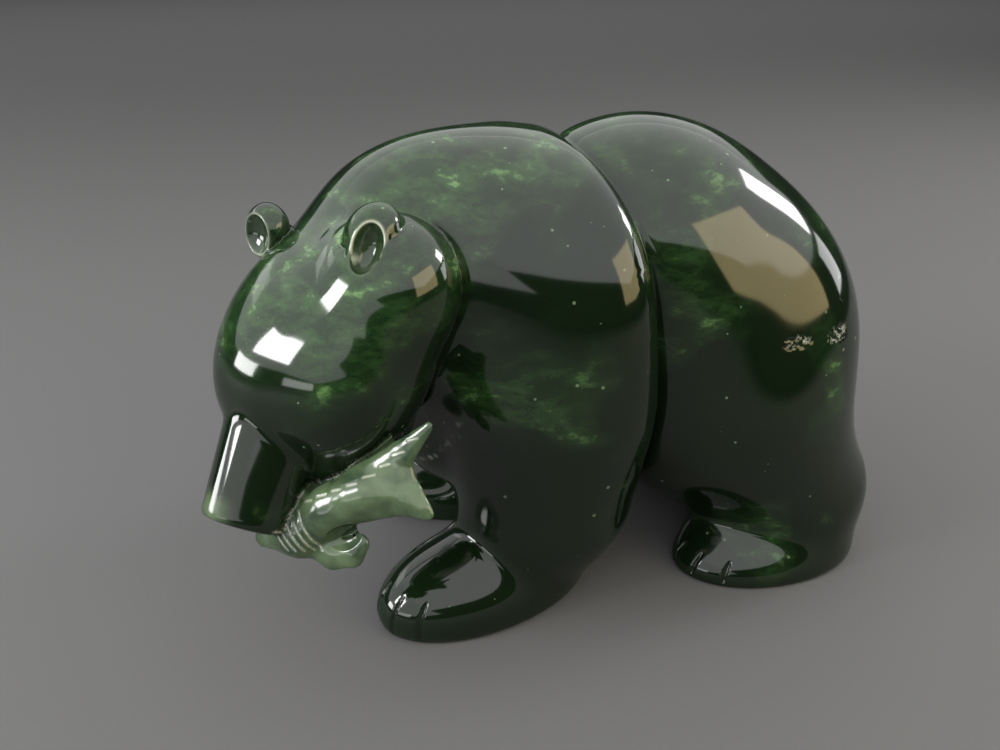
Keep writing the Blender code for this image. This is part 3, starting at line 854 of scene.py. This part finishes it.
    def grain_at(self, places: Points) -> Points:
        """How many times the squares at each place are halved."""
        local = self.head.frame.local(places)
        fish = self.fish.distance(places)
        toes = self.trunk.toes(places)
        beside = np.abs(self.trunk.distance(places) - self.head.skull(places)) < self.cheek_grain
        fine = (fish < self.fish_grain[0]) | (toes > self.toe_grain[0])
        fine |= self.trunk.waist(places) < self.waist_grain
        fine |= beside & (local[:, 1] > self.cheek_from)
        fine |= (local[:, 0] > self.muzzle_from) & (np.linalg.norm(local[:, 1:], axis=1) < self.muzzle_grain)
        finest = (fish < self.fish_grain[1]) | (toes > self.toe_grain[1])
        for ear in self.head.ears():
            fine |= ear.near(places, self.ear_grain[0])
            rim = np.abs(ear.cup.distance(places)) < self.dish_grain
            finest |= ear.near(places, self.ear_grain[1]) & rim
        for flaw in self.flaws:
            finest |= flaw.amount(places) > 0.0
        return np.where(finest, Grain.FINEST.value, np.where(fine, Grain.FINE.value, Grain.PLAIN.value))

    def refine(self, body: Object, grain: Grain) -> None:
        """Halves the squares of the parts that need this grain or finer."""
        mesh = body.data
        places = read(mesh.polygons, "center", 3)
        chosen = self.grain_at(places) >= grain.value
        bpy.ops.object.mode_set(mode="EDIT")
        bpy.ops.mesh.select_mode(type="FACE")
        bpy.ops.mesh.select_all(action="DESELECT")
        bpy.ops.object.mode_set(mode="OBJECT")
        mesh.polygons.foreach_set("select", chosen)
        bpy.ops.object.mode_set(mode="EDIT")
        bpy.ops.mesh.subdivide(number_cuts=1, ngon=False)
        bpy.ops.object.mode_set(mode="OBJECT")

    def finish(self, body: Object) -> None:
        """Triangulates the skin, notes its surface, and brings it to metres in the part's frame."""
        bpy.ops.object.mode_set(mode="EDIT")
        bpy.ops.mesh.select_all(action="SELECT")
        bpy.ops.mesh.quads_convert_to_tris(quad_method="SHORTEST_DIAGONAL")
        bpy.ops.mesh.normals_make_consistent(inside=False)
        bpy.ops.object.mode_set(mode="OBJECT")
        bpy.ops.object.shade_smooth()
        mesh = body.data
        points = read(mesh.vertices, "co", 3)
        normals = self.slope(self.finished, points)
        normals /= np.maximum(np.linalg.norm(normals, axis=1), TINY)[:, None]
        self.note_surface(mesh, points)
        place = Matrix.Translation((-BLOCK_MIDDLE[0], -BLOCK_MIDDLE[1], 0.0))
        mesh.transform(Matrix.Scale(MM, 4) @ place)
        mesh.normals_split_custom_set_from_vertices(normals)
        mesh.update()

    def note_surface(self, mesh: Mesh, points: Points) -> None:
        """Writes what the finish needs to know of each point: where the glow of thin stone is painted, the
        cuts with the painted highlights round the ears' dishes, and broken places.
        """
        fish = self.fish.distance(points)
        rest = self.head.join(self.trunk.distance(points), points)
        # painted glow of light through thin stone, strongest at the fish's join with the jaw and at the
        # muzzle's left corner
        corner = np.linalg.norm(points - self.painted_glow_corner, axis=1)
        thin = np.maximum(1.0 - ramp(*self.fish_painted_glow, fish - rest), 1.0 - ramp(*self.painted_glow_reach, corner))
        gills, scales = self.fish.cuts(points)
        cut = np.maximum(gills, self.scale_white * scales)
        for ear in self.head.ears():
            # the ears' dishes also take the painted glow of thin stone
            thin = np.maximum(thin, self.ear_painted_glow * ear.inside(points))
            # the painted highlight along each dish's rim goes in with the cuts and is painted white with them
            cut = np.maximum(cut, ear.ring(points))
        along = self.fish.frame.local(points)[:, 0]
        broken = self.torn * (1.0 - ramp(0.0, self.torn_width, fish + rest)) * ramp(*self.torn_from, along)
        broken *= (1.0 - ramp(*self.torn_to, along)) * (self.head.frame.local(points)[:, 1] > 0.0)
        for flaw in self.flaws:
            broken = np.maximum(broken, flaw.amount(points))
        for name, values in (("painted_thin_glow", thin), ("cut", cut), ("broken", broken)):
            layer = mesh.attributes.new(name, "FLOAT", "POINT")
            layer.data.foreach_set("value", np.asarray(values, np.float32))


def read(items: bpy_prop_collection, name: str, width: int, kind: type = float) -> np.ndarray:
    """One property of a mesh's parts as an array."""
    values = np.empty(len(items) * width, kind)
    items.foreach_get(name, values)
    return values.reshape(-1, width)


# ---- finishes


def linear(hex_colour: str) -> tuple[float, float, float, float]:
    """An sRGB hex colour as the linear colour that a node takes.

    Args:
        hex_colour: Six hex digits.

    Returns:
        Red, green, blue and alpha, each 0 to 1.
    """
    colour = Color([int(hex_colour[at : at + 2], 16) / 255.0 for at in (0, 2, 4)])
    return (*colour.from_srgb_to_scene_linear(), 1.0)


def per_mm(size: float) -> float:
    """Texture scale, on metres, of a pattern whose features are this many millimetres."""
    return 1.0 / (size * MM)


class Finish:
    """The node tree of one finish, from its shader back."""

    def __init__(self, name: str) -> None:
        """Starts a material with nothing but its shader."""
        self.material = bpy.data.materials.new(name)
        self.material.use_nodes = True
        self.tree = self.material.node_tree
        self.shader = self.tree.nodes["Principled BSDF"]

    def add(
        self, kind: str, inputs: dict[str | int, object] | None = None, **settings: object
    ) -> NodeOutputs:
        """Adds a node with its settings and links.

        Args:
            kind: The node's type, without its prefix.
            inputs: For each socket, the value it holds or the socket that feeds it.
            settings: Properties of the node.

        Returns:
            The node's outputs.
        """
        node = self.tree.nodes.new(f"ShaderNode{kind}")
        for name, value in settings.items():
            setattr(node, name, value)
        self.feed(node, inputs or {})
        return node.outputs

    def feed(self, node: Node, inputs: dict[str | int, object]) -> None:
        """Sets or links the sockets of a node."""
        for name, value in inputs.items():
            if isinstance(value, NodeSocket):
                self.tree.links.new(value, node.inputs[name])
            else:
                node.inputs[name].default_value = value


@dataclass(frozen=True)
class PolishedNephrite:
    """Dark green nephrite, ground smooth and polished by hand to a glassy, slightly waxy gloss.

    The eye reads near-black depth under clean reflections, with soft brighter green clouds and fine
    fibrous wisps where the stone is purer, drawn commoner higher up as painted top light, light olive
    where it is thin, a painted glow of light through thin stone, and a painted highlight round each ear's
    dish.
    """

    deep: str = "0d1a0b"
    body: str = "172c14"
    cloud: str = "324f29"
    thread: str = "6a9055"
    speck: str = "8fa888"
    # painted glow of light through thin stone, lighter and darker along the veins
    thin: str = "56684a"
    painted_glow_dark: str = "2e402d"
    # white of the ground cuts and dusty cracks, also painted along the ears' dish rims as a painted highlight
    white: str = "d5d9c4"
    cloud_mm: float = 15.0
    fibre_mm: float = 3.5  # tufts; the single fibres, some 0.02 mm thick, are too fine to show
    fibre_lie: Place = (0.4, 0.7, 0.3)
    fibre_squash: Place = (1.0, 1.0, 2.0)
    speck_mm: float = 2.6
    thin_mm: float = 3.0
    polish_mm: float = 8.0
    ripple_mm: float = 0.05
    crack_mm: float = 1.8
    crack_width: Span = (0.035, 0.010)  # share of the noise's height, from clear stone to full crack
    crack_lips: float = -5.0
    dust: float = 0.45  # how white the cracks show
    speck_show: float = 0.35
    speck_share: float = 0.70  # share of the cells that hold no speck
    speck_reach: float = 0.16
    clouded: Span = (0.51, 0.70)
    flaked: Span = (0.44, 0.66)
    stranded: Span = (0.60, 0.72)
    veined: Span = (0.35, 0.65)
    top_light_mm: Span = (30.0, 90.0)  # painted top light: clouds are drawn rarer below and commoner above, so the upper body reads lighter
    top_light_gain: float = 0.08
    roughness: float = 0.08
    thin_roughness: float = 0.16
    broken_roughness: float = 0.5
    ior: float = 1.57
    glow: float = 0.1
    glow_depths: Place = (0.4, 1.0, 0.5)
    glow_mm: float = 2.0

    def make(self) -> Material:
        """Makes the material."""
        finish = Finish("nephrite_hand_polished")
        add = finish.add
        place = add("TexCoord")["Object"]
        # the first mark says where a glow of light through thin stone is painted; the second holds the cuts
        # and the ears' painted rim highlights
        marks = ("painted_thin_glow", "cut", "broken")
        thin, cut, broken = (add("Attribute", attribute_name=name)["Fac"] for name in marks)
        crack = self.crack(finish, place)

        # painted glow: light olive, lighter and darker along the veins, mixed in where the stone is thin in
        # place of light shining through it
        scale = per_mm(self.thin_mm * 2.0)
        vein = add("TexNoise", {"Vector": place, "Scale": scale, "Detail": 5.0, "Distortion": 0.4})["Fac"]
        low, high = self.veined
        veined = add("MapRange", {"Value": vein, "From Min": low, "From Max": high})[0]
        pale = add("Mix", {0: veined, 6: linear(self.painted_glow_dark), 7: linear(self.thin)}, data_type="RGBA")[2]
        stone = add("Mix", {0: thin, 6: self.stone(finish, place), 7: pale}, data_type="RGBA")[2]

        torn = add("Math", {0: broken, 1: crack}, operation="MULTIPLY")[0]
        dusty = add("Math", {0: torn, 1: self.dust}, operation="MULTIPLY")[0]
        # the cut mark paints white both the cuts and the highlight painted along the ears' dish rims
        whitened = add("Math", {0: cut, 1: dusty}, operation="MAXIMUM")[0]
        colour = add("Mix", {0: whitened, 6: stone, 7: linear(self.white)}, data_type="RGBA")[2]

        dulled = add("MapRange", {"Value": thin, "To Min": self.roughness, "To Max": self.thin_roughness})[0]
        ground = add("Math", {0: cut, 1: torn}, operation="MAXIMUM")[0]
        rough = add("Mix", {0: ground, 2: dulled, 3: self.broken_roughness})[0]
        finish.feed(
            finish.shader,
            {
                "Base Color": colour,
                "Roughness": rough,
                "Normal": self.polish(finish, place, torn),
                "IOR": self.ior,
                "Subsurface Weight": self.glow,
                "Subsurface Radius": self.glow_depths,
                "Subsurface Scale": self.glow_mm * MM,
            },
        )
        return finish.material

    def stone(self, finish: Finish, place: NodeSocket) -> NodeSocket:
        """The colour of thick stone: deep green with fibrous clouds, bright threads and a few specks, the
        clouds drawn commoner higher up as painted top light.
        """
        add = finish.add
        scale = per_mm(self.cloud_mm * 2.0)
        cloud = add("TexNoise", {"Vector": place, "Scale": scale, "Detail": 3.0, "Distortion": 0.3})["Fac"]
        # painted top light: the cloud noise is raised higher up and lowered below, so more bright green shows
        # on top
        height = add("SeparateXYZ", {"Vector": place})["Z"]
        low, high = (size * MM for size in self.top_light_mm)
        gain = {"From Min": low, "From Max": high, "To Min": -self.top_light_gain, "To Max": self.top_light_gain}
        crown = add("MapRange", {"Value": height, **gain})[0]
        rich = add("Math", {0: cloud, 1: crown}, operation="ADD")[0]
        low, high = self.clouded
        patch = add("MapRange", {"Value": rich, "From Min": low, "From Max": high})[0]
        lie = add("Mapping", {"Vector": place, "Rotation": self.fibre_lie, "Scale": self.fibre_squash})[0]
        grit = {"Scale": per_mm(self.fibre_mm * 2.0), "Detail": 9.0, "Roughness": 0.66, "Distortion": 0.2}
        fibre = add("TexNoise", {"Vector": lie, **grit})["Fac"]
        colour = add("Mix", {0: patch, 6: linear(self.deep), 7: linear(self.body)}, data_type="RGBA")[2]
        for (low, high), shade in ((self.flaked, self.cloud), (self.stranded, self.thread)):
            bright = add("MapRange", {"Value": fibre, "From Min": low, "From Max": high})[0]
            share = add("Math", {0: patch, 1: bright}, operation="MULTIPLY")[0]
            colour = add("Mix", {0: share, 6: colour, 7: linear(shade)}, data_type="RGBA")[2]

        cells = add("TexVoronoi", {"Vector": place, "Scale": per_mm(self.speck_mm)}, feature="F1")
        lot = add("SeparateColor", {"Color": cells["Color"]})["Red"]
        reach = add("MapRange", {"Value": lot, "From Min": self.speck_share, "To Max": self.speck_reach})[0]
        grain = add("Math", {0: cells["Distance"], 1: reach}, operation="LESS_THAN")[0]
        faint = add("Math", {0: grain, 1: self.speck_show}, operation="MULTIPLY")[0]
        return add("Mix", {0: faint, 6: colour, 7: linear(self.speck)}, data_type="RGBA")[2]

    def crack(self, finish: Finish, place: NodeSocket) -> NodeSocket:
        """Thin jagged lines, for the cracks that run through the broken places."""
        add = finish.add
        scale = per_mm(self.crack_mm * 2.0)
        wave = add("TexNoise", {"Vector": place, "Scale": scale, "Detail": 4.0, "Roughness": 0.6})["Fac"]
        off = add("Math", {0: wave, 1: 0.5}, operation="SUBTRACT")[0]
        gap = add("Math", {0: off}, operation="ABSOLUTE")[0]
        clear, full = self.crack_width
        return add("MapRange", {"Value": gap, "From Min": clear, "From Max": full})[0]

    def polish(
        self, finish: Finish, place: NodeSocket, torn: NodeSocket
    ) -> NodeSocket:
        """The faint ripple that hand polishing leaves, and the open lips of the cracks."""
        add = finish.add
        ripple = add("TexNoise", {"Vector": place, "Scale": per_mm(self.polish_mm * 2.0), "Detail": 2.0})
        height = add("Math", {0: torn, 1: self.crack_lips, 2: ripple["Fac"]}, operation="MULTIPLY_ADD")[0]
        return add("Bump", {"Height": height, "Strength": 0.5, "Distance": self.ripple_mm * MM})["Normal"]


@dataclass(frozen=True)
class PaintedBoard:
    """Plain matt painted board for the studio floor, which gives an even pale ground."""

    colour: str = "585858"
    roughness: float = 0.85

    def make(self) -> Material:
        """Makes the material."""
        finish = Finish("board_matt_painted")
        finish.feed(finish.shader, {"Base Color": linear(self.colour), "Roughness": self.roughness})
        return finish.material


# ---- studio


def set_up(name: str, data: ID, place: Vector, way: Vector) -> Object:
    """Puts a light or a camera in its place, looking along a way."""
    thing = bpy.data.objects.new(name, data)
    thing.location = place
    thing.rotation_euler = way.to_track_quat("-Z", "Y").to_euler()
    bpy.context.scene.collection.objects.link(thing)
    return thing


@dataclass(frozen=True)
class Panel:
    """A soft light: a lit rectangle that faces a place."""

    name: str
    middle: Place
    size: Flat
    radiance: float
    colour: str = "ffffff"
    facing: Place = (0.0, 0.0, 0.05)

    def hang(self) -> None:
        """Puts the light up."""
        data = bpy.data.lights.new(self.name, "AREA")
        data.shape = "RECTANGLE"
        data.size, data.size_y = self.size
        data.energy = self.radiance * math.pi * self.size[0] * self.size[1]
        data.color = linear(self.colour)[:3]
        set_up(self.name, data, Vector(self.middle), Vector(self.facing) - Vector(self.middle))


@dataclass
class Studio:
    """A plain pale floor under plain soft lights, and the camera."""

    floor_half: float = 3.0
    surroundings: str = "303133"
    distance: float = 0.210
    azimuth: float = -15.0
    elevation: float = 27.0
    aim: Place = (-0.0108, 0.0050, 0.045)
    lens: float = 32.4
    near_clip: float = 0.005
    panels: tuple[Panel, ...] = (
        Panel("overhead", (0.225, -0.29, 0.40), (1.35, 1.28), 1.5, facing=(0.225, -0.29, 0.0)),
        Panel("overhead left", (-1.225, -0.60, 0.40), (1.55, 2.80), 1.3, facing=(-1.225, -0.60, 0.0)),
        Panel("left window", (-0.556, -0.082, 0.292), (0.20, 0.15), 22.0, facing=(-0.06, -0.03, 0.07)),
        Panel("left low window", (-0.75, 0.05, 0.140), (0.24, 0.11), 14.0),
        Panel("front low window", (-0.60, -0.35, 0.10), (0.30, 0.07), 3.5),
        Panel("right window", (0.70, 0.12, 0.41), (0.17, 0.15), 18.0),
        Panel("right low window", (0.77, 0.03, 0.21), (0.20, 0.20), 4.0),
        Panel("overhead back", (0.20, 1.50, 0.80), (3.20, 1.40), 1.2, facing=(0.20, 1.50, 0.0)),
        Panel("warm wall", (0.55, -0.48, 0.33), (0.56, 0.38), 4.6, "d4c08e"),
    )

    def lay_floor(self) -> Object:
        """Lays the floor under the soles."""
        bpy.ops.object.select_all(action="DESELECT")
        bpy.ops.mesh.primitive_plane_add(size=self.floor_half * 2.0)
        floor = bpy.context.object
        floor.name = "floor"
        floor.data.materials.append(PaintedBoard().make())
        return floor

    def light(self) -> None:
        """Hangs the lights and sets the dim surroundings."""
        for panel in self.panels:
            panel.hang()
        world = bpy.data.worlds.new("studio")
        world.use_nodes = True
        world.node_tree.nodes["Background"].inputs["Color"].default_value = linear(self.surroundings)
        bpy.context.scene.world = world
        bpy.context.scene.view_settings.view_transform = "Standard"

    def place_camera(self) -> None:
        """Places the camera at the viewing angle."""
        data = bpy.data.cameras.new("camera")
        data.lens = self.lens
        data.clip_start = self.near_clip
        turn, rise = math.radians(self.azimuth), math.radians(self.elevation)
        level = math.cos(rise)
        back = Vector((math.sin(turn) * level, -math.cos(turn) * level, math.sin(rise)))
        place = Vector(self.aim) + back * self.distance
        bpy.context.scene.camera = set_up("camera", data, place, -back)


def main() -> None:
    """Builds the carving and the studio in order."""
    logging.basicConfig(level=logging.INFO, format="%(name)s: %(message)s")
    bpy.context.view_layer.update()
    carving = Carving().build()
    carving.data.materials.clear()
    carving.data.materials.append(PolishedNephrite().make())
    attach(carving, ROOT_BODY)
    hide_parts(PART_NODE)
    log.info("%s has %d triangles", carving.name, len(carving.data.polygons))
    studio = Studio()
    floor = studio.lay_floor()
    log.info("%s laid", floor.name)
    studio.light()
    studio.place_camera()
    log.info("%d lights hung", len(studio.panels))


if __name__ == "__main__":
    main()
